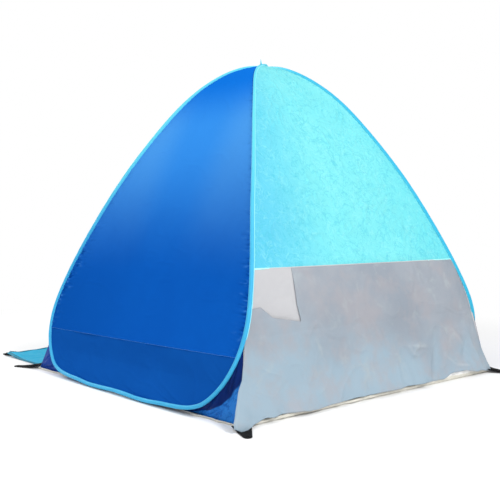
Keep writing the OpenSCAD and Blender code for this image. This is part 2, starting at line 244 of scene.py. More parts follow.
def normals(grid):
    n = np.cross(np.gradient(grid, axis=0), np.gradient(grid, axis=1))
    return n / np.maximum(np.linalg.norm(n, axis=2, keepdims=True), 1e-12)


def moved(grid, move):
    """The grid, each point moved out along its normal."""
    return grid + normals(grid) * move[:, :, None]


def arc(grid, axis):
    legs = np.linalg.norm(np.diff(grid, axis=axis), axis=2)
    start = np.zeros_like(grid[:1, :, 0] if axis == 0 else grid[:, :1, 0])
    return np.concatenate([start, np.cumsum(legs, axis=axis)], axis=axis)


def edge_shares(count, crowd=0.55):
    """Shares from 0 to 1 that crowd towards both ends."""
    even = np.linspace(0, 1, count)
    return (1 - crowd) * even + crowd * (0.5 - 0.5 * np.cos(np.pi * even))


def ruled(start, end, shares):
    """Grid whose rows run straight from start[i] to end[i]."""
    s = np.asarray(shares)[None, :, None]
    return start[:, None, :] * (1 - s) + end[:, None, :] * s


def facing(toward, grid, *fields):
    """The grid and its fields, with their columns reversed if its middle faces the other way."""
    n = normals(grid)[grid.shape[0] // 2, grid.shape[1] // 2]
    turned = [field if n @ toward > 0 else field[:, ::-1] for field in (grid, *fields)]
    return turned if fields else turned[0]


def outward(grid, *fields, centre=(0, 0, 0.35)):
    middle = grid[grid.shape[0] // 2, grid.shape[1] // 2]
    return facing(middle - np.array(centre), grid, *fields)


def row_fields(grid):
    """Distances in metres: across the row, the row's width, and from its nearer end."""
    across = arc(grid, 1)
    width = across[:, -1:]
    return across, width, np.minimum(across, width - across)


def middle_run(grid):
    """For each point, how far down the grid's middle column its row is."""
    return arc(grid, 0)[:, grid.shape[1] // 2][:, None] + np.zeros(grid.shape[:2])


def end_key(across, width):
    """Keeps the folds at a row's two ends from being alike."""
    return np.where(across < width / 2, 0.0, 40.0)


def sagging(across, width, full, power=2):
    """1 in the middle of a row of full width, 0 at its ends, and less in narrower rows."""
    return (1 - (2 * across / width - 1) ** 2) * np.clip(width / full, 0, 1) ** power


def add_object(name, data):
    obj = bpy.data.objects.new(name, data)
    bpy.context.scene.collection.objects.link(obj)
    return obj


def grid_mesh(name, grid, drop=None, close_rows=False, values=None):
    """An object made of quads, with a UV map in metres. drop marks faces to leave out, and
    values is the name and the numbers of an attribute of its points."""
    rows, cols = grid.shape[:2]
    index = np.arange(rows * cols).reshape(rows, cols)
    if close_rows:
        index = np.concatenate([index, index[:, :1]], axis=1)
    quads = np.stack([index[:-1, :-1], index[1:, :-1], index[1:, 1:], index[:-1, 1:]], 2)
    u, v = arc(grid, 1), arc(grid, 0)
    if close_rows:
        u = np.concatenate([u, u[:, -1:] + 0.001], axis=1)
        v = np.concatenate([v, v[:, :1]], axis=1)
    uv = np.stack([u, v], 2)
    uv_quads = np.stack([uv[:-1, :-1], uv[1:, :-1], uv[1:, 1:], uv[:-1, 1:]], 2)
    keep = np.ones(quads.shape[:2], bool) if drop is None else ~drop
    quads, uv_quads = quads[keep], uv_quads[keep]
    used, flat = np.unique(quads, return_inverse=True)
    mesh = bpy.data.meshes.new(name)
    mesh.from_pydata(grid.reshape(-1, 3)[used], [], flat.reshape(quads.shape).tolist())
    layer = mesh.uv_layers.new(name="fabric")
    layer.data.foreach_set("uv", uv_quads.astype(np.float32).ravel())
    mesh.polygons.foreach_set("use_smooth", np.ones(len(mesh.polygons), bool))
    obj = add_object(name, mesh)
    if values is not None:
        point_values(obj, values[0], values[1].ravel()[used])
    return obj


def point_values(obj, name, values):
    layer = obj.data.attributes.new(name, "FLOAT", "POINT")
    layer.data.foreach_set("value", np.asarray(values, np.float32).ravel())


def thicken(obj, thickness, outside, inside=None):
    """Gives a sheet its thickness and materials; the inside face can have its own."""
    obj.data.materials.append(outside)
    solid = obj.modifiers.new("thickness", "SOLIDIFY")
    solid.thickness = thickness
    solid.offset = -1.0
    solid.use_even_offset = False
    if inside is not None:
        obj.data.materials.append(inside)
        solid.material_offset = 1
    return obj


def tube(name, path, radii, sides, material, shape=None):
    """A closed tube along a path. shape(turn) may ruffle its rings."""
    d = unit(np.gradient(path, axis=0))
    a = np.zeros_like(path)
    a[0] = unit(np.cross(d[0], [0.3, 0.1, 1.0]))
    for i in range(1, len(path)):
        a[i] = unit(a[i - 1] - (a[i - 1] @ d[i]) * d[i])
    b = np.cross(d, a)
    turn = np.linspace(0, 2 * np.pi, sides, endpoint=False)
    r = np.broadcast_to(np.asarray(radii, float).reshape(-1, 1), (len(path), sides))
    if shape is not None:
        r = r * shape(turn)
    rings = (path[:, None, :] + (r * np.cos(turn))[:, :, None] * a[:, None, :]
             + (r * np.sin(turn))[:, :, None] * b[:, None, :])
    return capped(name, rings, material)


def capped(name, rings, material):
    """A closed piece from a grid of rings, with a face on each end."""
    obj = grid_mesh(name, rings, close_rows=True)
    rows, sides = rings.shape[:2]
    bm = bmesh.new()
    bm.from_mesh(obj.data)
    bm.verts.ensure_lookup_table()
    first = [bm.verts[k] for k in range(sides)]
    last = [bm.verts[(rows - 1) * sides + k] for k in range(sides)]
    bm.faces.new(first)
    bm.faces.new(last[::-1])
    bmesh.ops.recalc_face_normals(bm, faces=bm.faces)
    bm.to_mesh(obj.data)
    bm.free()
    obj.data.materials.append(material)
    return obj


def attach(obj, body=None, node=None):
    """Puts a piece on the body it rides on, and hides the CAD node it stands for."""
    if body is not None:
        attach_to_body(obj, body)
    if node is not None:
        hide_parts(node)


def blend_across(obj):
    """Bakes a piece's placement into its mesh."""
    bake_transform(obj)


def squash_sideways(obj):
    """Gives a piece its own copy of its mesh."""
    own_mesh(obj)


def side_body(side):
    return f"{SIDE_NAMES[side]}_side"


# ---- Materials ----
def screen_color(r, g, b):
    """Linear colour of a screen colour given in 0 to 255."""
    def linear(c):
        c = c / 255
        return c / 12.92 if c <= 0.04045 else ((c + 0.055) / 1.055) ** 2.4
    return (linear(r), linear(g), linear(b), 1)


class Nodes:
    """Short hand for a node material. Three numbers stand for a screen colour, 0 to 255."""

    def __init__(self, name):
        self.material = bpy.data.materials.new(name)
        self.material.use_nodes = True
        self.tree = self.material.node_tree
        self.tree.nodes.clear()
        self.place = self.add("ShaderNodeTexCoord").outputs["Object"]

    def add(self, kind, **settings):
        n = self.tree.nodes.new(kind)
        for key, value in settings.items():
            setattr(n, key, value)
        return n

    def link(self, a, b):
        self.tree.links.new(a, b)

    def put(self, socket, value):
        if isinstance(value, bpy.types.NodeSocket):
            self.link(value, socket)
        elif isinstance(value, tuple) and len(value) == 3:
            socket.default_value = screen_color(*value)
        else:
            socket.default_value = value

    def math(self, operation, a, b=0.0):
        n = self.add("ShaderNodeMath", operation=operation)
        self.put(n.inputs[0], a)
        self.put(n.inputs[1], b)
        return n.outputs[0]

    def times(self, a, b):
        return self.math("MULTIPLY", a, b)

    def plus(self, a, b):
        return self.math("ADD", a, b)

    def minus(self, a, b):
        return self.math("SUBTRACT", a, b)

    def mix(self, factor, a, b):
        n = self.add("ShaderNodeMix", data_type="RGBA")
        self.put(n.inputs[0], factor)
        self.put(n.inputs[6], a)
        self.put(n.inputs[7], b)
        return n.outputs[2]

    def remap(self, value, low, high, to_low=0.0, to_high=1.0):
        n = self.add("ShaderNodeMapRange", clamp=True, interpolation_type="SMOOTHSTEP")
        self.put(n.inputs[0], value)
        for k, v in enumerate((low, high, to_low, to_high)):
            n.inputs[k + 1].default_value = v
        return n.outputs[0]

    def noise(self, scale, detail=3.0, rough=0.55, distortion=0.0):
        n = self.add("ShaderNodeTexNoise")
        self.link(self.place, n.inputs["Vector"])
        n.inputs["Scale"].default_value = scale
        n.inputs["Detail"].default_value = detail
        n.inputs["Roughness"].default_value = rough
        n.inputs["Distortion"].default_value = distortion
        return n.outputs["Fac"]

    def veins(self, *settings):
        """0 along the thin lines where a noise crosses its middle value."""
        return self.math("ABSOLUTE", self.minus(self.noise(*settings), 0.5))

    def attribute(self, name):
        return self.add("ShaderNodeAttribute", attribute_name=name).outputs["Fac"]

    def parts(self, vector):
        n = self.add("ShaderNodeSeparateXYZ")
        self.link(vector, n.inputs[0])
        return n.outputs[:3]

    def weave(self, pitch):
        """Over-and-under threads, 0 to 1."""
        uv = self.add("ShaderNodeUVMap", uv_map="fabric").outputs["UV"]
        u, v = (self.math("SINE", self.times(part, 2 * math.pi / pitch))
                for part in self.parts(uv)[:2])
        return self.plus(self.times(self.times(u, v), 0.5), 0.5)

    def bump(self, height, distance, strength=1.0, under=None):
        n = self.add("ShaderNodeBump")
        self.put(n.inputs["Height"], height)
        n.inputs["Distance"].default_value = distance
        n.inputs["Strength"].default_value = strength
        if under is not None:
            self.link(under, n.inputs["Normal"])
        return n.outputs["Normal"]

    def finish(self, color, rough, normal=None, metallic=0.0, through=0.0, specular=0.5):
        p = self.add("ShaderNodeBsdfPrincipled")
        self.put(p.inputs["Base Color"], color)
        self.put(p.inputs["Roughness"], rough)
        self.put(p.inputs["Metallic"], metallic)
        p.inputs["Specular IOR Level"].default_value = specular
        if normal is not None:
            self.link(normal, p.inputs["Normal"])
        out = self.add("ShaderNodeOutputMaterial")
        shader = p.outputs[0]
        if through:
            t = self.add("ShaderNodeBsdfTranslucent")
            self.put(t.inputs["Color"], color)
            if normal is not None:
                self.link(normal, t.inputs["Normal"])
            m = self.add("ShaderNodeMixShader")
            m.inputs[0].default_value = through
            self.link(shader, m.inputs[1])
            self.link(t.outputs[0], m.inputs[2])
            shader = m.outputs[0]
        self.link(shader, out.inputs["Surface"])
        return self.material


def woven(name, base, deep, rough=0.55, pitch=0.0011, crinkle=0.0006, crinkle_scale=38.0,
          through=0.0, mottle=0.35, specular=0.15, tint=None):
    """Thin woven polyester: tone drifts, faint crinkles and over-and-under threads."""
    n = Nodes(name)
    drift = n.remap(n.noise(3.1, 4.0), 0.35, 0.68)
    cloud = n.remap(n.noise(17.0, 5.0, 0.6), 0.3, 0.7)
    color = n.mix(n.times(drift, mottle), base, deep)
    color = n.mix(n.times(cloud, 0.4 * mottle), color, deep)
    if tint is not None:
        color = tint(n, color)
    threads = n.weave(pitch)
    color = n.mix(n.times(threads, 0.10), color, deep)
    folds = n.noise(crinkle_scale, 4.0, 0.6, 0.8)
    normal = n.bump(folds, crinkle, 0.8)
    normal = n.bump(threads, pitch * 0.16, 0.5, under=normal)
    roughness = n.remap(cloud, 0.0, 1.0, rough - 0.06, rough + 0.07)
    return n.finish(color, roughness, normal, through=through, specular=specular)


def paint_fold_light(n, color, plus, plus_share, minus, minus_share):
    """Painted shade and highlights: tints where the points' painted_fold_light is above 0, and
    otherwise where it is below.
    """
    folds = n.attribute("painted_fold_light")
    color = n.mix(n.remap(folds, 0.0, 1.0, 0.0, plus_share), color, plus)
    return n.mix(n.remap(folds, 0.0, -1.0, 0.0, minus_share), color, minus)


def side_painted_sheen(n, color):
    """Painted light on the side panels: a painted sheen in a pale band below the top, towards the
    rear rib, a painted brighter blue at the very top, painted shade low at the front, and painted
    shade and highlights along the sleeves and folds.
    """
    x, y, z = n.parts(n.place)
    drift = n.times(n.noise(2.6, 4.0, 0.6), 0.10)
    # painted shade low at the front
    low_front_shade = n.times(n.remap(y, -0.65, 0.20, 1.0, 0.0), n.remap(z, 0.25, 0.62, 1.0, 0.0))
    color = n.mix(low_front_shade, color, (11, 80, 168))
    # painted sheen: a paler band below the top, nearer the rear rib
    off_centre = n.remap(n.math("ABSOLUTE", y), 0.05, 0.28)
    pale = n.mix(off_centre, (54, 144, 234), (74, 154, 233))
    color = n.mix(n.remap(n.plus(z, drift), 0.46, 1.06), color, pale)
    # painted light at the very top: a brighter, more saturated blue
    color = n.mix(n.remap(z, 1.00, 1.22), color, (16, 114, 218))
    # painted shade along the sleeves and in sunk folds, painted highlights on raised folds
    return paint_fold_light(n, color, (5, 58, 138), 0.65, (84, 158, 232), 0.45)


def gusset_painted_shadow(n, color):
    """Painted shadow: the gussets are painted navy where the side loops shade them and bright where
    they reach the ground, with painted shade along their creases.
    """
    zone = n.attribute("lit_zone")
    ragged = n.times(n.minus(n.noise(16.0, 2.0), 0.5), 0.16)
    share = n.remap(n.plus(zone, ragged), -0.03, 0.03)
    # painted shade along the creases
    crease_shade = n.remap(n.veins(22.0, 2.0, 0.5, 1.2), 0.0, 0.035, 0.55, 0.0)
    color = n.mix(crease_shade, color, (14, 70, 150))
    # painted shadow under the loops: navy, darker deep under them
    painted_loop_shadow = n.mix(n.remap(zone, -1.8, -1.2), (6, 55, 143), (2, 27, 89))
    return n.mix(share, painted_loop_shadow, color)


def roof_glow(n, color):
    """Painted light: the roof is painted bluer low down and near the near rib, where less light
    comes through, and a little bluer towards -X, with painted shade and highlights along its
    crinkles.
    """
    x, y, z = n.parts(n.place)
    near = n.plus(x, n.times(n.minus(z, 0.6), 0.12))
    near = n.plus(near, n.times(n.noise(5.0, 4.0), 0.12))
    color = n.mix(n.remap(near, 0.12, 0.60), color, (106, 213, 242))
    color = n.mix(n.remap(x, -0.15, -0.50, 0.0, 0.45), color, (106, 226, 238))
    # painted shade along crinkle lines, and one scale of painted highlights: scale, strength,
    # colour
    crinkles = ((15.0, 0.42, (84, 206, 228)), (31.0, 0.50, (84, 206, 228)),
                (24.0, 0.32, (176, 252, 252)), (60.0, 0.20, (88, 208, 230)))
    for scale, strength, crinkle_light_paint in crinkles:
        line = n.remap(n.veins(scale, 2.0, 0.5, 1.4), 0.0, 0.040, strength, 0.0)
        patch = n.remap(n.noise(0.6 * scale), 0.36, 0.56)
        color = n.mix(n.times(line, patch), color, crinkle_light_paint)
    return color


def sleeve_height(n, color):
    """The sleeves are paler towards the top, and the sleeve of the -X loop gets painted shade."""
    x, y, z = n.parts(n.place)
    color = n.mix(n.remap(z, 0.45, 1.05), color, (98, 212, 232))
    return n.mix(n.remap(x, 0.02, -0.15), color, (58, 178, 212))


def edge_highlight_at_right(n, color):
    """The sleeve edge's pale colour is a painted highlight, shown only on the sleeve at the right;
    on the other the edge is like its tube.
    """
    return n.mix(n.remap(n.parts(n.place)[0], 0.02, -0.10), color, (62, 184, 216))


def curtain_cloud(n, color):
    """Silver coating: cloudy, a little pink high up and bluer low down, with painted highlights on
    raised folds and painted shade in sunk ones.
    """
    x, y, z = n.parts(n.place)
    drift = n.times(n.minus(n.noise(3.4, 4.0, 0.6), 0.5), 0.55)
    level = n.minus(n.plus(z, drift), n.times(x, 0.10))
    low = n.remap(level, 0.06, 0.30, 1.0, 0.0)
    color = n.mix(n.times(low, 0.75), color, (156, 182, 198))
    rub = n.remap(n.noise(7.0, 6.0, 0.65), 0.44, 0.66)
    color = n.mix(n.times(rub, 0.5), color, (172, 166, 170))
    pale = n.remap(n.noise(13.0, 5.0, 0.6, 0.6), 0.54, 0.72)
    color = n.mix(n.times(pale, 0.4), color, (178, 188, 190))
    return paint_fold_light(n, color, (206, 212, 214), 0.45, (128, 134, 146), 0.55)


def silver_inside(name, base):
    """The coated inner face: grey with faint streaks."""
    n = Nodes(name)
    streak = n.remap(n.noise(24.0, 5.0, 0.6, 0.4), 0.3, 0.7)
    color = n.mix(n.times(streak, 0.5), base, (150, 156, 166))
    normal = n.bump(n.noise(60.0, 3.0), 0.0004, 0.6)
    return n.finish(color, 0.42, normal, metallic=0.25, specular=0.5)


def webbing_material(name):
    n = Nodes(name)
    x, y, z = n.parts(n.place)
    diagonal = n.plus(n.times(x, 0.8), n.times(y, 0.6))
    ribs = n.math("SINE", n.times(diagonal, 2 * math.pi / 0.0022))
    ribs = n.plus(n.times(ribs, 0.5), 0.5)
    fuzz = n.noise(240.0, 3.0)
    color = n.mix(ribs, (8, 8, 9), (24, 24, 26))
    color = n.mix(n.times(fuzz, 0.4), color, (34, 34, 36))
    return n.finish(color, 0.8, n.bump(ribs, 0.0004), specular=0.15)


def thread_material(name, base):
    n = Nodes(name)
    twist = n.noise(700.0, 2.0)
    color = n.mix(n.times(twist, 0.4), base, (60, 110, 180))
    return n.finish(color, 0.6, n.bump(twist, 0.0001), specular=0.2)


def steel_material(name, base, rough):
    n = Nodes(name)
    drawn = n.noise(900.0, 2.0)
    color = n.mix(n.times(drawn, 0.5), base, (120, 122, 126))
    roughness = n.remap(drawn, 0.2, 0.8, rough - 0.08, rough + 0.1)
    return n.finish(color, roughness, n.bump(drawn, 0.0001), metallic=1.0)


def poly_sheet_material(name):
    """Woven polyethylene: flat tapes crossing, a little shine, scuffs, and a painted highlight
    where the edge stands up highest.
    """
    n = Nodes(name)
    tapes = n.weave(0.004)
    scuff = n.remap(n.noise(9.0, 6.0, 0.65), 0.45, 0.7)
    color = n.mix(n.times(tapes, 0.25), (226, 223, 212), (198, 194, 180))
    color = n.mix(n.times(scuff, 0.5), color, (178, 176, 164))
    # painted highlight: whiter where the turned-up edge stands highest
    crumple = n.plus(n.parts(n.place)[2], n.times(n.noise(60.0, 3.0), 0.012))
    color = n.mix(n.remap(crumple, 0.020, 0.030), color, (250, 250, 249))
    normal = n.bump(tapes, 0.0003, 0.8)
    return n.finish(color, 0.42, normal, specular=0.5)


SLEEVE = woven("sleeve_fabric", (66, 178, 222), (44, 152, 202), rough=0.45,
               crinkle=0.0007, crinkle_scale=70, mottle=0.4, tint=sleeve_height)
# the sleeve edge's pale colour is a painted highlight
SLEEVE_EDGE_HIGHLIGHT = woven("sleeve_edge_painted_highlight", (160, 240, 250), (120, 222, 246), rough=0.45,
                    crinkle=0.0004, crinkle_scale=80, tint=edge_highlight_at_right)
PANEL = woven("panel_fabric", (13, 91, 187), (11, 80, 172), rough=0.5, mottle=0.35,
              crinkle=0.0006, crinkle_scale=16, tint=side_painted_sheen, through=0.03, specular=0.0)
BAND = woven("band_fabric", (15, 82, 165), (12, 72, 152), rough=0.6, mottle=0.4,
             crinkle=0.0008, crinkle_scale=14, specular=0.0)
GUSSET = woven("gusset_fabric", (52, 138, 218), (20, 96, 182), rough=0.40, mottle=0.7,
               crinkle=0.0030, crinkle_scale=30, tint=gusset_painted_shadow, specular=0.08)
ROOF = woven("roof_fabric", (142, 242, 244), (126, 232, 242), rough=0.50, mottle=0.4,
             crinkle=0.0016, crinkle_scale=22, tint=roof_glow, through=0.25, specular=0.08)
ROOF_HEM = woven("roof_hem_fabric", (188, 250, 246), (150, 240, 246), rough=0.5)
WINDOW = woven("window_mesh", (206, 206, 209), (190, 191, 196), rough=0.6,
               crinkle=0.0009, crinkle_scale=18, through=0.2)
CURTAIN = woven("curtain_fabric", (162, 168, 177), (142, 152, 164), rough=0.42,
                crinkle=0.0013, crinkle_scale=16, mottle=0.7, tint=curtain_cloud, through=0.08)
PORCH = woven("porch_fabric", (27, 193, 235), (18, 175, 221), rough=0.45,
              crinkle=0.0014, crinkle_scale=26, through=0.05)
BINDING = woven("porch_binding_fabric", (34, 140, 168), (20, 112, 140), rough=0.6)
TAPE = woven("zip_tape", (150, 206, 234), (118, 186, 224), rough=0.6, pitch=0.0008)
THREAD = thread_material("thread", (96, 160, 224))
INSIDE_BLUE = silver_inside("side_inside", (176, 182, 196))
INSIDE_CYAN = silver_inside("roof_inside", (190, 214, 222))
FLOOR_SHEET = poly_sheet_material("floor_sheet_weave")
WEBBING = webbing_material("webbing")
WIRE_STEEL = steel_material("spring_steel", (200, 202, 206), 0.35)
FERRULE_STEEL = steel_material("ferrule_steel", (170, 172, 176), 0.45)
ZIP_METAL = steel_material("zip_metal", (150, 152, 158), 0.4)


# ---- Side panels and bands ----
def seam_offset(z, start=0.42):
    """How far a row is tipped: rear end up, front end down, fully at the band seam."""
    return SEAM_TILT * LOOP_HALF_D * step(start - np.asarray(z), 0, start - BAND_SEAM)


def side_grid(side, z, tip, cols):
    """A side's sheet with rows at heights z, and its fields for the folds."""
    front, rear = side_end(z - tip, side, FRONT), side_end(z + tip, side, REAR)
    grid = outward(ruled(front, rear, edge_shares(cols)))
    return grid, middle_run(grid), *row_fields(grid)


def side_panel(side):
    seed = 11 if side == RIGHT else 12
    z = heights_between(SIDE_TOP_SHARE * APEX_H, BAND_SEAM, 450)
    grid, along, across, width, near = side_grid(side, z, seam_offset(z), 91)
    below = along[-1:] - along
    inner = step(near, 0, 0.10)
    drawn = 0.3 + 0.8 * np.exp(-((grid[:, :, 2] - 0.40) / 0.16) ** 2)
    folds = drawn * pucker(near, along + end_key(across, width), seed, 0.026, 0.0115)
    grid = moved(grid, -0.020 * sagging(across, width, 1.1)
                 + 0.0035 * inner * fractal(across / 0.34, along / 0.45, seed, 2)
                 + 0.0075 * folds
                 + 0.0018 * pucker(below, across, seed + 1, 0.016, 0.02)
                 + 0.0009 * creases(across, along, 0.16, seed + 2, 7.0) * inner)
    name = SIDE_NAMES[side]
    obj = thicken(grid_mesh(f"side_panel_cloth_{name}", grid), SHEET_T, PANEL, INSIDE_BLUE)
    # painted shade along the sleeves and in sunk folds, painted highlights on raised folds
    shade = 0.9 * np.exp(-(near / 0.006) ** 2) * (along < along[-1:] - 0.03) - 2.1 * folds
    point_values(obj, "painted_fold_light", np.clip(shade, -1, 1))
    attach(obj, side_body(side), f"side_panel_{name}")
    return grid


def side_band(side):
    seed = 21 if side == RIGHT else 22
    z = heights_between(BAND_SEAM, LOOP_LOW + 0.003, 120)
    tip = seam_offset(z) * step(z, LOOP_LOW, BAND_SEAM)
    grid, along, across, width, near = side_grid(side, z, tip, 121)
    foot = np.minimum(near, arc(grid, 0)[-1:] - arc(grid, 0))
    grid = moved(grid, -0.020 * sagging(across, width, 1.1) * step(grid[:, :, 2], 0.02, 0.12)
                 + 0.0030 * step(foot, 0, 0.09) * fractal(across / 0.22, along / 0.12, seed, 2)
                 + 0.0009 * pucker(foot, along + across, seed, 0.016, 0.018)
                 + 0.0013 * pucker(along, across, seed - 9, 0.014, 0.02)
                 + 0.0014 * creases(across, along, 0.13, seed + 2, 6.0) * step(foot, 0, 0.04))
    name = SIDE_NAMES[side]
    obj = thicken(grid_mesh(f"side_band_cloth_{name}", grid), SHEET_T, BAND, INSIDE_BLUE)
    attach(obj, side_body(side), f"side_band_{name}")


def side_seam(side, panel_grid):
    """The folded hem that covers the seam between a side panel and its band."""
    line = panel_grid[-1]
    up = unit(panel_grid[-6] - line)
    out = normals(panel_grid)[-2]
    wave = 0.0010 * noise(arc(panel_grid, 1)[-1] / 0.03, 0.2, 31)[:, None]
    section = ((0, 0.0002), (0.15, 0.0011), (0.5, 0.0014), (0.85, 0.0011), (1.0, 0.0002))
    grid = np.stack([line + up * (0.004 - 0.009 * share + wave) + out * rise
                     for share, rise in section])
    name = SIDE_NAMES[side]
    obj = thicken(grid_mesh(f"side_seam_{name}", outward(grid)), 0.0008, PANEL)
    attach(obj, side_body(side))
    lower_fold = grid[3] if grid[0, 5, 2] > grid[4, 5, 2] else grid[1]
    stitches(f"side_seam_thread_{name}", lower_fold + out * 0.0003, 0.0055, 0.0005,
             side_body(side))


def stitches(name, line, pitch, radius, body):
    """A row of thread stitches along a line, each a short bent cylinder."""
    run, sides = run_length(line), 6
    starts = np.arange(pitch, run[-1] - pitch, pitch)
    at = starts[:, None] + np.linspace(0, 0.68 * pitch, 4)
    spines = np.stack([np.interp(at, run, line[:, k]) for k in range(3)], 2)
    d = unit(spines[:, -1] - spines[:, 0])
    a = unit(np.cross(d, [0.0, 0.3, 1.0]))
    b = np.cross(d, a)
    turn = np.linspace(0, 2 * np.pi, sides, endpoint=False)[:, None]
    ring = a[:, None] * np.cos(turn) + b[:, None] * np.sin(turn)
    fat = radius * np.array([0.5, 1.0, 1.0, 0.5])[:, None, None]
    points = spines[:, :, None] + fat * ring[:, None]
    walls = [[sides * i + j, sides * i + (j + 1) % sides, sides * (i + 1) + (j + 1) % sides,
              sides * (i + 1) + j] for i in range(3) for j in range(sides)]
    ends = [list(range(sides))[::-1], list(range(3 * sides, 4 * sides))]
    faces = [[4 * sides * k + v for v in face] for k in range(len(starts))
             for face in walls + ends]
    mesh = bpy.data.meshes.new(name)
    mesh.from_pydata(points.reshape(-1, 3).tolist(), [], faces)
    mesh.polygons.foreach_set("use_smooth", np.ones(len(faces), bool))
    mesh.materials.append(THREAD)
    attach(add_object(name, mesh), body)


# ---- Gussets at the floor's corners ----
def gusset(side, way):
    seed = 41 + 2 * (side > 0) + (way > 0)
    s = np.linspace(0, 1, 91)
    head = rib(GUSSET_TOP[way] + (GUSSET_END - GUSSET_TOP[way]) * s)
    foot = np.stack([np.full_like(s, FLOOR_X - 0.002), (FLOOR_Y - 0.002) * (1 - 0.94 * s),
                     np.full_like(s, FLOOR_T + 0.001)], 1)
    sheet = ruled(head, foot, edge_shares(61, 0.3)) * np.array([side, way, 1])
    grid, from_head = outward(sheet, np.array([[0.0, 1.0]]), centre=(0, 0, 0.6))
    across, width, near = row_fields(grid)
    share = across / np.maximum(width, 1e-6)
    along = np.linspace(0, 0.62, len(s))[:, None] + np.zeros_like(across)
    slack = np.clip(width / 0.22, 0, 1) * step(s, 0, 0.16)[:, None]
    held = step(s, 0, 0.05)[:, None]
    waves = 0.4 - fractal(along / 0.09, across / 0.20, seed, 2)
    crumple = creases(across, along, 0.06, seed + 3, 4.0) * step(near, 0, 0.02)
    grid = moved(grid, 0.022 * slack * np.sin(np.pi * share) ** 1.3 * waves
                 - 0.006 * held * crumple
                 + 0.0018 * held * pucker(near, along, seed, 0.02, 0.014))
    grid[:, :, 2] = np.maximum(grid[:, :, 2], 0.0015)
    name = f"{WAY_NAMES[way]}_{SIDE_NAMES[side]}"
    obj = thicken(grid_mesh(f"gusset_cloth_{name}", grid), SHEET_T, GUSSET, INSIDE_BLUE)
    from_rib = share if from_head[0, 0] == 0 else 1 - share
    # where the loop's painted shadow ends across a rear gusset; the front gussets are all in
    # painted shadow
    edge = np.interp(s, [0, 0.1, 0.2, 0.35, 0.5], [0.48, 0.50, 0.65, 0.72, 1.0])
    all_in_painted_shadow = 0 * from_rib - 2
    point_values(obj, "lit_zone", from_rib - edge[:, None] if way == REAR else all_in_painted_shadow)
    attach(obj, side_body(side), f"gusset_{name}")


# ---- Roof, hood and window: fabric between the two loops ----
def face_sheet(z, way, cols, seed, sag, crumple):
    """A panel between the loops with rows at heights z, its shares across the rows, and its folds.
    """
    sheet = ruled(face_end(z, RIGHT, way), face_end(z, LEFT, way), edge_shares(cols))
    grid, share = outward(sheet, np.broadcast_to(edge_shares(cols), sheet.shape[:2]))
    across, width, near = row_fields(grid)
    along = middle_run(grid)
    inner = step(near, 0, 0.07)
    move = -sag * sagging(across, width, 1.0, 1.5)
    move = move + crumple * 3.0 * inner * fractal(across / 0.30, along / 0.36, seed, 2)
    for k, size in enumerate((0.085, 0.052, 0.038)):
        swirl = creases(across * (1 + 0.3 * k), along * (1 - 0.15 * k), size, seed + 2 + 6 * k, 4.0)
        patch = step(noise(across / 0.17 + 3 * k, along / 0.2, seed + 4 + k), -0.3, 0.4)
        move = move + crumple * (2.0 - 0.5 * k) * inner * swirl * patch
    move = move + 0.0016 * pucker(near, along + end_key(across, width), seed, 0.018, 0.015)
    return grid, share, move, across, along


def sew_face(node, grid, material, inside=None):
    obj = thicken(grid_mesh(f"{node}_cloth", grid), SHEET_T, material, inside)
    blend_across(obj)
    attach(obj, node=node)


def face_hem(name, grid, share, width):
    """A narrow folded strip along a face panel's lower edge."""
    line, middle = grid[-1], grid.shape[1] // 2
    up = unit(grid[-6, middle] - line[middle])
    out = normals(grid)[-2]
    rise = (0.0002, 0.0012, 0.0016, 0.0012, 0.0002)
    place = np.linspace(0.5, -0.5, len(rise)) * width + 0.001
    strip = np.stack([line + up * p + out * r for p, r in zip(place, rise)])
    strip, share = outward(strip, np.broadcast_to(share[-1], strip.shape[:2]))
    obj = thicken(grid_mesh(name, strip), 0.0009, ROOF_HEM)
    blend_across(obj)
    attach(obj)


def rear_roof():
    z = heights_between(FACE_TOP_SHARE * APEX_H, WINDOW_SEAM, 235)
    grid, share, move, across, along = face_sheet(z, REAR, 205, 51, 0.020, 0.0017)
    below = along[-1:] - along
    grid = moved(grid, move * (0.25 + 0.75 * step(below, 0, 0.12))
                 + 0.0015 * pucker(below, across, 53, 0.018, 0.018))
    sew_face("rear_roof", grid, ROOF, INSIDE_CYAN)
    face_hem("rear_roof_hem", grid, share, 0.006)


def front_hood():
    """The hood over the doorway; its lower edge is an arch."""
    shares, columns = edge_shares(121), []
    for share in shares:
        lowest = HOOD_EDGE + HOOD_ARCH * (1 - (2 * share - 1) ** 2)
        z = heights_between(FACE_TOP_SHARE * APEX_H, lowest, 240)
        row_ends = face_end(z, RIGHT, FRONT), face_end(z, LEFT, FRONT)
        columns.append(ruled(*row_ends, [share])[:, 0])
    sheet = np.stack(columns, 1)
    grid, share = outward(sheet, np.broadcast_to(shares, sheet.shape[:2]))
    across, width, near = row_fields(grid)
    down, inner = arc(grid, 0), step(near, 0, 0.07)
    grid = moved(grid, -0.016 * sagging(across, width, 1.0, 1.5)
                 + 0.004 * inner * fractal(across / 0.30, down / 0.36, 61, 2)
                 + 0.0015 * inner * creases(across, down, 0.09, 63, 5.0)
                 + 0.0016 * pucker(near, down, 64, 0.018, 0.015))
    sew_face("front_hood", grid, ROOF, INSIDE_CYAN)
    face_hem("front_hood_hem", grid, share, 0.012)


def rear_window():
    z = np.linspace(WINDOW_SEAM + 0.002, FLOOR_T + 0.001, 120)
    grid, share, move, across, along = face_sheet(z, REAR, 101, 71, 0.004, 0.0010)
    edge = np.minimum(along, along[-1:] - along)
    slanting = creases(across + 0.5 * along, along - 0.3 * across, 0.07, 73, 6.0)
    grid = moved(grid, np.minimum(move * step(edge, 0, 0.10), 0.0005) - 0.0015 * slanting)
    sew_face("rear_window", grid, WINDOW)


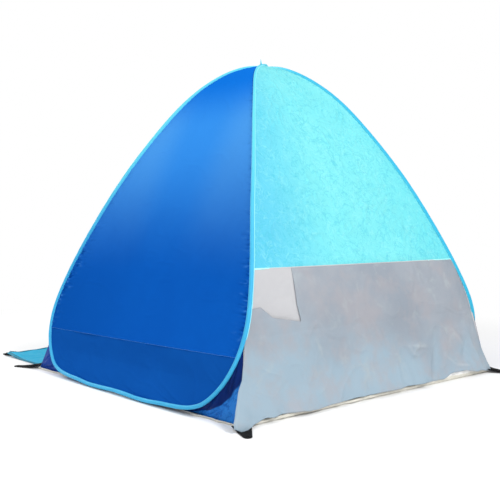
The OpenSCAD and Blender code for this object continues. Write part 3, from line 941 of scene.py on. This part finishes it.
# ---- Curtain outside the window, with one corner folded away ----
def curtain_hem(A, tail):
    """Height of the curtain's lower edge, with A from 0 at the left edge over 1 at the notch to
    2 at the right edge."""
    hem = 0.016 + 0.008 * noise(A * 3.1, 0.3, 81) + 0.004 * noise(A * 11, 0.3, 82)
    hem = hem + 0.010 * step(1 - A, 0.72, 1.0) - 0.013 * step(tail, 0.62, 0.9)
    hem = hem + 0.009 * np.exp(-((tail - 0.45) / 0.2) ** 2)
    hem = hem + 0.014 * step(tail, 0.90, 1.0) ** 2
    hem = hem + 0.021 * (1 - step(A, 0.25, 0.32)) * step(A, 0.09, 0.20)
    return hem - 0.015 * (1 - step(A, 0.02, 0.09))


def curtain_grid():
    """Two sheets in one grid: columns up to the notch line and past it, rows above its corner
    and below. The part above and past the corner is marked for leaving out."""
    top = WINDOW_SEAM - 0.001
    A, B = np.meshgrid(
        np.concatenate([np.linspace(0, 1, 140), 1 + np.linspace(0, 1, 34)[1:]]),
        np.concatenate([np.linspace(0, 1, 45), 1 + np.linspace(0, 1, 90)[1:]]))
    tail = np.clip(A - 1, 0, 1)
    notch_low = np.interp(tail, [0, 0.57, 0.80, 1.0], [NOTCH_Z, 0.325, 0.362, 0.357])
    z = np.where(B <= 1, top + (notch_low - top) * B,
                 notch_low + (curtain_hem(A, tail) - notch_low) * (B - 1))
    left = face_end(z.ravel(), LEFT, REAR).reshape(z.shape + (3,))
    right = face_end(z.ravel(), RIGHT, REAR).reshape(z.shape + (3,))
    flare = np.interp(z, [0.0, 0.03, 0.06, 0.09, 0.14, 0.20, LEAVE_H],
                      [0.068, 0.071, 0.055, 0.033, 0.008, 0.004, 0.002])
    right_x = right[:, :, 0] + flare
    bare = np.interp(z, [0.0, 0.05, 0.10, 0.20, 0.30, 0.40, 0.47],
                     [-0.018, -0.003, 0.002, 0.012, 0.018, 0.012, 0.004])
    low = step(LEAVE_H - z, 0, LEAVE_H)
    left_x = left[:, :, 0] + bare + 0.004 * low * noise(z / 0.09, 0.5, 84)
    notch_line = NOTCH_X + np.interp(-z, [-0.482, -0.357, -0.313], [0.0, 0.010, 0.002])
    x = np.where(A <= 1, left_x + (notch_line - left_x) * A,
                 notch_line + (right_x - notch_line) * (A - 1))
    from_edge = np.minimum(right_x - x, x - left_x)
    from_fold = np.abs(x - notch_line) + np.maximum(0, NOTCH_Z - z)
    loose = step(from_edge, 0, 0.09) * step(from_fold, 0, 0.09)
    y = right[:, :, 1] + 0.0013 + CURTAIN_GAP * loose
    drop = (B[:-1, :-1] < 1 - 1e-9) & (A[:-1, :-1] >= 1 - 1e-9)
    return np.stack([x, y, z], 2), drop, loose


# soft folds near the far lower corner: from (x, z) to (x, z), width, height
CURTAIN_FOLDS = (
    (-0.330, 0.135, -0.288, 0.012, 0.016, -0.0075), (-0.290, 0.150, -0.170, 0.165, 0.012, 0.006),
    (-0.235, 0.168, -0.200, 0.125, 0.010, 0.0055), (-0.170, 0.165, -0.205, 0.125, 0.010, 0.005),
    (-0.395, 0.105, -0.450, 0.062, 0.012, 0.006), (-0.450, 0.062, -0.545, 0.052, 0.012, 0.007),
    (-0.545, 0.150, -0.500, 0.060, 0.011, -0.005), (-0.470, 0.200, -0.555, 0.100, 0.014, 0.005),
    (-0.590, 0.150, -0.630, 0.050, 0.012, 0.005))


def ridge(x, z, x0, z0, x1, z1, wide):
    """1 along a straight line and falling to 0 either side of it and past its ends."""
    dx, dz = x1 - x0, z1 - z0
    along = np.clip(((x - x0) * dx + (z - z0) * dz) / (dx * dx + dz * dz), 0, 1)
    away = np.hypot(x - x0 - along * dx, z - z0 - along * dz)
    return np.exp(-(away / wide) ** 2) * np.sin(np.pi * (0.12 + 0.76 * along))


def rear_curtain():
    grid, drop, loose = curtain_grid()
    x, z = grid[:, :, 0], grid[:, :, 2]
    hang = step(WINDOW_SEAM - z, 0, 0.25)
    far = step(-x, -0.1, 0.5)
    move = 0.006 * hang * (0.6 + fractal(x / 0.42, z / 0.30, 85, 2))
    move = move + 0.004 * hang * np.sin(x * 9.0 + 2.0 * z * 9) ** 2 * far
    move = move + 0.0022 * creases(x, z, 0.14, 87, 5.0)
    # painted highlights along the raised folds and painted shade along the sunk ones
    shade = 0 * x
    for *line, wide, high in CURTAIN_FOLDS:
        move = move + high * ridge(x, z, *line, wide)
        shade = shade + 75 * high * ridge(x, z, *line, 0.6 * wide)
    foot = step(0.12 - z, 0, 0.11)
    corner = np.exp(-((x - FLOOR_X - 0.03) / 0.06) ** 2) * step(0.13 - z, 0, 0.12)
    move = move * (0.1 + 0.9 * loose)
    move = move + 0.012 * foot * (0.7 + noise(x / 0.13, 0.2, 88))
    move = move + 0.010 * foot * (0.5 + 0.5 * noise(x / 0.05, 0.8, 89))
    move = move + 0.030 * corner + 0.0012 * pucker(WINDOW_SEAM - z, x, 90, 0.02, 0.02)
    grid[:, :, 1] += np.maximum(move, -0.002)
    grid, shade = facing((0, 1, 0), grid, shade)
    if grid[0, 0, 0] > grid[0, -1, 0]:
        drop = drop[:, ::-1]
    obj = thicken(grid_mesh("rear_curtain_cloth", grid, drop, values=("painted_fold_light", shade)),
                  SHEET_T, CURTAIN, CURTAIN)
    attach(obj, "curtain", "rear_curtain")
    squash_sideways(obj)


# ---- Sleeves ----
def raised(points, lift):
    return points + np.stack([0 * lift, 0 * lift, lift], 1)


def loop_path(side, count):
    """Round a side loop from the crossing, down its rear rib and up its front rib."""
    t = np.interp(np.linspace(TABLE_ARC[0], TABLE_ARC[-1], count), TABLE_ARC, TABLE_T)
    t = t[t > 0.10]
    lift = side * SLEEVE_LIFT * np.maximum(0, 1 - t / 0.5) ** 2
    rear = raised(rib(t) * np.array([side, 1, 1]), lift)
    front = raised(rib(t) * np.array([side, -1, 1]), -lift)[::-1]
    return np.concatenate([rear, front[1:]])


def sleeve_taper(height):
    """The right rear sleeve gets narrower towards the crossing."""
    return 1 - 0.40 * step(height, 0.55, 1.27)


def sleeve_fullness(height):
    """The front sleeves are fuller in their upper half."""
    return 1 + 0.32 * step(height, 0.20, 0.60) * (1 - step(height, 1.08, 1.22))


def sleeve(side):
    path = loop_path(side, 420)
    along = run_length(path)[:, None]

    def ruffle(turn):
        folds = 0.05 * noise(along / 0.02, 2.2 * turn / np.pi, 91 + side)
        return 1 + folds + 0.05 * noise(along / 0.11, turn / np.pi, 93 + side)

    rear_height = np.where(path[:, 1] > 0, path[:, 2], 0) * (side == RIGHT)
    front_height = np.where(path[:, 1] < 0, path[:, 2], 0)
    radii = SLEEVE_R * sleeve_taper(rear_height) * sleeve_fullness(front_height)
    name = SIDE_NAMES[side]
    obj = tube(f"sleeve_cloth_{name}", path, radii, 20, SLEEVE, ruffle)
    attach(obj, side_body(side), f"sleeve_{name}")


def sleeve_edge(side, way):
    """The sleeve's sewn edge: a flat strip beside the tube, on the face panels' side, painted pale
    as a highlight.
    """
    path = rib(np.linspace(0.16, 4.28, 330))
    d = unit(np.gradient(path, axis=0))
    inward = np.array([-1.0, 0, 0])
    toward = unit(inward - d * (d @ inward)[:, None])
    out = np.cross(toward, d)
    out *= np.sign(out[:, 1])[:, None]
    wave = (1 + 0.25 * noise(run_length(path) / 0.03, 0.3, 95 + way))[:, None]
    slim = (sleeve_taper(path[:, 2]) ** (side == RIGHT and way == REAR))[:, None]
    rings = [path + slim * (toward * (0.0074 + 0.0036 * wave * math.cos(turn))
                            + out * (0.0008 + 0.0022 * math.sin(turn)))
             for turn in np.linspace(0, 2 * np.pi, 10, endpoint=False)]
    obj = capped(f"sleeve_edge_{WAY_NAMES[way]}_{SIDE_NAMES[side]}",
                 np.stack(rings, 1) * np.array([side, way, 1]), SLEEVE_EDGE_HIGHLIGHT)
    attach(obj, side_body(side))


def crossing_sleeve(name, way, up):
    """One sleeve runs over the crossing: from the right loop's rib to the left loop's."""
    t = np.linspace(0, 0.16, 14)
    lift = up * SLEEVE_LIFT * (1 - t / 0.5) ** 2
    right = raised(rib(t) * np.array([1, way, 1]), lift)
    left = raised(rib(t) * np.array([-1, -way, 1]), lift)
    path = np.concatenate([right[::-1], left[1:]])
    path[:, 2] -= 0.0015 * np.exp(-((path[:, 0]) / 0.01) ** 2)
    slim = 1 + (sleeve_taper(path[:, 2]) - 1) * step(path[:, 0], -0.005, 0.005) * (way == REAR)
    sides = 20
    obj = tube(name, path, SLEEVE_R * 1.04 * slim, sides, SLEEVE)
    blend_across(obj)
    attach(obj)


def apex_tab():
    """The pointed end of the sleeve's fold that stands up at the crossing."""
    turn = np.linspace(0, 2 * np.pi, 16, endpoint=False)
    foot = rib(0.42)[0] + np.array([0, 0, 0.004])
    rings = []
    for k in np.linspace(0, 1, 12):
        wide, thin = 0.0095 * (1 - k ** 1.3) + 0.0010, 0.0045 * (1 - k) + 0.0008
        section = np.stack([0.6 * wide * np.cos(turn),
                            thin * np.sin(turn) + 0.5 * wide * np.cos(turn), 0 * turn], 1)
        rings.append(foot + k * np.array([0.003, 0.001, 0.021]) + section)
    attach(capped("apex_tab", np.array(rings), SLEEVE), "right_side")


def crossing_patch():
    low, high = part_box("crossing_patch")
    radius, z = high.x, low.z
    turn = np.linspace(0, 2 * np.pi, 48, endpoint=False)
    grid = np.array([
        np.stack([radius * k * np.cos(turn), radius * k * np.sin(turn),
                  z + 0.0018 - 0.0018 * k ** 2 + 0.0004 * np.sin(6 * turn) * k], 1)
        for k in (0.02, 0.35, 0.7, 0.93, 1.0)])
    obj = thicken(grid_mesh("crossing_patch_cloth", grid, close_rows=True), 0.0012, SLEEVE)
    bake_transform(obj)
    attach(obj, node="crossing_patch")


def floor_sheet():
    X, Y = np.meshgrid(np.linspace(-FLOOR_X, FLOOR_X, 141), np.linspace(-FLOOR_Y, FLOOR_Y, 131))
    edge = np.minimum(FLOOR_X - np.abs(X), FLOOR_Y - np.abs(Y))
    Z = 0.0022 + 0.0022 * step(edge, 0, 0.05) * np.abs(fractal(X / 0.25, Y / 0.22, 101, 3))
    Z = Z + 0.0025 * step(edge, 0, 0.04) * creases(X, Y, 0.20, 102, 9.0)
    grid = facing((0, 0, 1), np.stack([X, Y, Z], 2))
    obj = thicken(grid_mesh("floor_cloth", grid), 0.0014, FLOOR_SHEET)
    blend_across(obj)
    attach(obj, node="floor_sheet")


def floor_skirt():
    """The ground sheet's turned-up, ruffled edge, all the way round."""
    corners = np.array([(FLOOR_X, -FLOOR_Y), (FLOOR_X, FLOOR_Y), (-FLOOR_X, FLOOR_Y),
                        (-FLOOR_X, -FLOOR_Y)])
    points, outs = [], []
    for a, b in zip(corners, np.roll(corners, -1, axis=0)):
        d = unit(b - a)
        points.append(a + (b - a) * np.linspace(0, 1, 330, endpoint=False)[:, None])
        outs.append(np.tile([d[1], -d[0]], (330, 1)))
    points, outs = np.concatenate(points), np.concatenate(outs)
    along = np.arange(len(points)) * 0.0041
    x, y = points.T
    rear = step(y, FLOOR_Y - 0.01, FLOOR_Y - 0.001)
    far = rear * step(-x, 0.15, 0.50)
    # at the door the edge stays low and straight, so that the porch can fold up past it
    door = step(-y, FLOOR_Y - 0.01, FLOOR_Y - 0.001)
    tall = 0.0045 + 0.0125 * rear + 0.006 * rear * noise(along / 0.10, 0.1, 111)
    tall = tall + 0.018 * far * np.clip(0.7 + noise(along / 0.13, 0.7, 112), 0, 1.5)
    tall = tall + 0.014 * rear * np.exp(-((x + 0.44) / 0.07) ** 2)
    tall = tall * (1 - 0.6 * door)
    push = 0.004 + 0.006 * noise(along / 0.07, 0.4, 113) + 0.003 * noise(along / 0.025, 0.4, 114)
    push = push - door * (0.002 + push)
    # two rows on the sheet, then shares of the ruffle's reach and height
    rows = [(reach + 0 * x, 0.0012 + 0 * x) for reach in (-0.012, 0.0)]
    rows += [(out * (0.004 + push), 0.0012 + up * tall)
             for out, up in ((0.4, 0.10), (1.0, 0.30), (1.15, 0.62), (0.75, 1.0))]
    grid = np.array([np.column_stack([points + outs * reach[:, None], height])
                     for reach, height in rows])
    obj = thicken(grid_mesh("floor_skirt", grid, close_rows=True), 0.0010, FLOOR_SHEET)
    blend_across(obj)
    attach(obj)


# ---- Porch ----
def porch_height(x, y):
    """The porch lies in soft waves, and its outer edge stands up a little."""
    out = (porch_high.y - y) / (porch_high.y - porch_low.y)
    wave = 0.004 * np.abs(fractal(x / 0.22, y / 0.16, 121, 2)) * step(out, 0, 0.2)
    inset = porch_high.x - np.abs(x)
    curl = np.interp(inset, [0, 0.014, 0.054, 0.137, 0.214, 0.60],
                     [0.006, 0.017, 0.011, 0.014, 0.016, 0.010])
    stand = (curl + 0.002 * noise(x / 0.2, 0.4, 122)) * step(out, 0.55, 1.0)
    return 0.0022 + wave + stand


def porch():
    X, Y = np.meshgrid(np.linspace(porch_low.x + 0.004, porch_high.x - 0.004, 151),
                       np.linspace(porch_low.y + 0.004, porch_high.y, 61))
    Z = porch_height(X, Y) + 0.002 * creases(X, Y, 0.12, 123, 5.0)
    grid = facing((0, 0, 1), np.stack([X, Y, Z], 2))
    obj = thicken(grid_mesh("porch_cloth", grid), SHEET_T, PORCH)
    attach(obj, "porch", "porch_flap")
    squash_sideways(obj)


def porch_binding():
    """Binding tape folded round the porch's three free edges."""
    x0, x1, y0, y1 = porch_low.x, porch_high.x, porch_low.y, porch_high.y
    pts = np.array([(x1, y) for y in np.linspace(y1, y0, 60)]
                   + [(x, y0) for x in np.linspace(x1, x0, 200)[1:]]
                   + [(x0, y) for y in np.linspace(y0, y1, 60)[1:]])
    d = unit(np.gradient(pts, axis=0))
    inward = np.stack([d[:, 1], -d[:, 0]], 1)
    width = 0.011
    section = [(1.0, 0.0012), (0.5, 0.0017), (0.08, 0.0014), (0.0, 0.0002), (0.08, -0.0012),
               (0.5, -0.0016), (1.0, -0.0012)]
    rows = []
    for share, rise in section:
        p = pts + inward * share * width
        on_porch = np.clip(p, [x0 + 0.004, y0 + 0.004], [x1 - 0.004, y1])
        z = np.maximum(porch_height(*on_porch.T) + rise, 0.0004)
        rows.append(np.column_stack([p, z]))
    obj = thicken(grid_mesh("porch_binding_tape", np.array(rows)), 0.0006, BINDING)
    attach(obj, "porch", "porch_binding")
    squash_sideways(obj)


# ---- Webbing peg loops ----
def peg_outline(length, root, tip, count):
    """Points round a tapering loop with a round end, evenly spaced, seen from above."""
    centre = length - tip
    bend = np.linspace(-np.pi / 2, np.pi / 2, 40)
    corners = np.array([[centre, tip], [0, root], [0, -root], [centre, -tip]])
    straights = [np.linspace(a, b, 40)[1:] for a, b in zip(corners[:-1], corners[1:])]
    round_end = np.stack([centre + tip * np.cos(bend), tip * np.sin(bend)], 1)
    pts = np.concatenate([round_end] + straights)
    run = run_length(pts)
    even = np.linspace(0, run[-1], count, endpoint=False)
    return np.stack([np.interp(even, run, pts[:, k]) for k in (0, 1)], 1)


def peg_loop(place, start, direction, length, root, seed):
    """Webbing sewn on at its wide end, which is lifted, and lying flat where the peg goes."""
    tip, hole = 0.014, 0.005
    outline = peg_outline(length, root, tip, 220)
    centre = np.array([length - tip, 0])
    angle = np.arctan2(outline[:, 1], outline[:, 0] - centre[0])
    ring = centre + hole * np.stack([np.cos(angle), np.sin(angle)], 1)
    shares = np.linspace(0, 1, 26) ** 1.2
    flat = ring[None] + (outline - ring)[None] * shares[:, None, None]
    u, v = flat[:, :, 0], flat[:, :, 1]
    rooted = np.clip(1 - u / (length - 2.2 * tip), 0, 1)
    rise = PEG_LIFT * rooted ** 1.6
    if start[0] * start[1] < 0:
        rise = rise + 0.010 * np.abs(v) / root * rooted ** 1.3
    rise = rise + 0.0016 * fractal(u / 0.05, v / 0.03, seed, 2) * np.clip(1 - u / length, 0, 1)
    edge = np.abs(v) / (root + (tip - root) * np.clip(u / centre[0], 0, 1))
    rise = rise + 0.0012 * np.clip(edge, 0, 1) ** 3
    d = np.array(direction)
    n = np.array([-d[1], d[0]])
    spots = np.array(start) + u[:, :, None] * d + v[:, :, None] * n
    grid = np.concatenate([spots, (0.0029 + np.maximum(rise, -0.0003))[:, :, None]], 2)
    obj = grid_mesh(f"peg_loop_{place}_webbing", facing((0, 0, 1), grid), close_rows=True)
    attach(thicken(obj, 0.0026, WEBBING), f"peg_{place}", f"peg_loop_{place}")
    if place == "porch_left":
        squash_sideways(obj)


def peg_loops():
    """Four at the floor's corners, and two on the porch that fill their frame boxes."""
    for side, side_name in SIDE_NAMES.items():
        for way, way_name in WAY_NAMES.items():
            d = (side * math.cos(PEG_ANGLE), way * math.sin(PEG_ANGLE))
            start = (side * FLOOR_X + d[0] * PEG_START, way * FLOOR_Y + d[1] * PEG_START)
            peg_loop(f"{way_name}_{side_name}", start, d, PEG_LENGTH, 0.032, 141 + 2 * side + way)
        low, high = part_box(f"peg_loop_porch_{side_name}")
        peg_loop(f"porch_{side_name}", ((low.x + high.x) / 2, high.y), (0, -1),
                 high.y - low.y, (high.x - low.x) / 2, 151 + side)


# ---- CAD nodes that stay, with their materials ----
def dress(node, material, bevel=0.0):
    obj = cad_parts[node]
    obj.data.materials.clear()
    obj.data.materials.append(material)
    if bevel:
        mod = obj.modifiers.new("soft edges", "BEVEL")
        mod.width = bevel
        mod.segments = 2
        mod.limit_method = "ANGLE"


def dress_cad_nodes():
    for name in SIDE_NAMES.values():
        dress(f"frame_wire_{name}", WIRE_STEEL)
        dress(f"wire_ferrule_{name}", FERRULE_STEEL)
        dress(f"zip_tape_{name}", TAPE)
        dress(f"zip_slider_{name}", ZIP_METAL)
        dress(f"zip_pull_{name}", ZIP_METAL)
    dress("lantern_loop", WEBBING, 0.0005)


# ---- Stage: floor, light and camera ----
SKY_LIGHT = 0.62                 # the camera sees the sky as 1, and the tent is lit by this


def stage():
    """A white floor that fades into a white sky, and three soft lights."""
    n = Nodes("studio_floor")
    tone = n.noise(1.5, 2.0)
    color = n.mix(tone, (0.93, 0.93, 0.93, 1), (0.96, 0.96, 0.96, 1))
    away = n.add("ShaderNodeVectorMath", operation="LENGTH")
    n.link(n.place, away.inputs[0])
    fade = n.remap(away.outputs["Value"], 1.2, 2.6)
    material = n.finish(n.mix(fade, color, (0, 0, 0, 1)), 0.9, specular=0.0)
    surface = material.node_tree.nodes["Principled BSDF"]
    surface.inputs["Emission Color"].default_value = (1, 1, 1, 1)
    seen = n.add("ShaderNodeLightPath").outputs["Is Camera Ray"]
    glow = n.times(fade, n.remap(seen, 0.0, 1.0, SKY_LIGHT, 1.0))
    n.link(glow, surface.inputs["Emission Strength"])
    mesh = bpy.data.meshes.new("studio_floor")
    reach = 40.0
    mesh.from_pydata([(x * reach, y * reach, -0.0005) for x, y in
                      ((-1, -1), (1, -1), (1, 1), (-1, 1))], [], [(0, 1, 2, 3)])
    mesh.materials.append(material)
    add_object("studio_floor", mesh)

    world = bpy.data.worlds.new("studio")
    world.use_nodes = True
    background = world.node_tree.nodes["Background"]
    background.inputs["Color"].default_value = (1, 1, 1, 1)
    seen = world.node_tree.nodes.new("ShaderNodeLightPath")
    strength = world.node_tree.nodes.new("ShaderNodeMapRange")
    strength.inputs["To Min"].default_value = SKY_LIGHT
    strength.inputs["To Max"].default_value = 1.0
    world.node_tree.links.new(seen.outputs["Is Camera Ray"], strength.inputs["Value"])
    world.node_tree.links.new(strength.outputs[0], background.inputs["Strength"])
    bpy.context.scene.world = world

    area_light("key", place=(0.4, 4.4, 3.6), aim=(0, 0, 0.6), size=1.6, power=172)
    area_light("fill", place=(4.2, 0.6, 3.4), aim=(0, 0, 0.6), size=2.4, power=60)
    area_light("front fill", place=(0.8, -3.2, 1.8), aim=(0.2, -0.9, 0), size=1.6, power=40)


def area_light(name, place, aim, size, power):
    data = bpy.data.lights.new(name, "AREA")
    data.size = size
    data.energy = power
    obj = add_object(name, data)
    obj.location = place
    point_at(obj, aim)


def point_at(obj, aim, roll=0.0):
    turn = (Vector(aim) - obj.location).to_track_quat("-Z", "Y").to_matrix()
    obj.rotation_euler = (turn @ Matrix.Rotation(roll, 3, "Z")).to_euler()


def camera():
    """At the photograph's viewing angle: low, towards the rear right corner."""
    azimuth, elevation = math.radians(137.67), math.radians(2.25)
    distance, aim = 3.42, np.array([0.0417, -0.0428, 0.5163])
    away = np.array([math.sin(azimuth) * math.cos(elevation),
                     -math.cos(azimuth) * math.cos(elevation), math.sin(elevation)])
    data = bpy.data.cameras.new("camera")
    data.sensor_width = 36
    data.lens = 57.6
    obj = add_object("camera", data)
    obj.location = aim + distance * away
    point_at(obj, aim, roll=math.radians(0.4))
    bpy.context.scene.camera = obj


for side in (RIGHT, LEFT):
    side_seam(side, side_panel(side))
    side_band(side)
    sleeve(side)
    for way in (REAR, FRONT):
        gusset(side, way)
        sleeve_edge(side, way)
rear_roof()
front_hood()
rear_window()
rear_curtain()
crossing_sleeve("crossing_sleeve_top", REAR, 1)
crossing_sleeve("crossing_sleeve_low", FRONT, -1)
apex_tab()
crossing_patch()
floor_sheet()
floor_skirt()
porch()
porch_binding()
peg_loops()
dress_cad_nodes()
stage()
camera()
bpy.context.scene.view_settings.view_transform = "Standard"
